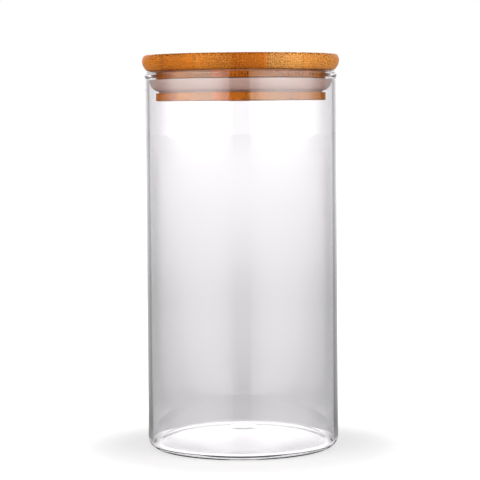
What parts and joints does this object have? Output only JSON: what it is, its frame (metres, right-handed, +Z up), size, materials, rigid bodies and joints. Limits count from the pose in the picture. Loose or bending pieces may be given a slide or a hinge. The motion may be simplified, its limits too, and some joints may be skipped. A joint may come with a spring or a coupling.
{
  "type": "lidded glass canister",
  "caption": "Straight clear glass storage jar with a round bamboo lid, whose turned plug carries a flared silicone seal.",
  "frame": {"origin": "centre of the foot ring, on the surface that the jar stands on", "axes": "+Z up along the jar's axis; the bamboo's fibres run along Y"},
  "size_m": [0.103, 0.103, 0.2054],
  "materials": {
    "glass": "clear polished borosilicate glass",
    "bamboo_board": "sanded and oiled bamboo",
    "bamboo_plug": "turned and oiled bamboo",
    "silicone": "milky translucent silicone, satin"
  },
  "bodies": {
    "jar": {"glass_jar": "glass"},
    "seal": {"seal_ring": "silicone"},
    "lid": {"lid_board": "bamboo_board", "lid_plug": "bamboo_plug"}
  },
  "joints": [
    {"name": "lid_lift", "type": "slide", "parent": "jar", "child": "seal", "axis": [0, 0, 1], "range_m": [0, 0.06]},
    {"name": "lid_turn", "type": "hinge", "parent": "seal", "child": "lid", "pos_m": [0, 0, 0.1894], "axis": [0, 0, 1], "continuous": true}
  ]
}
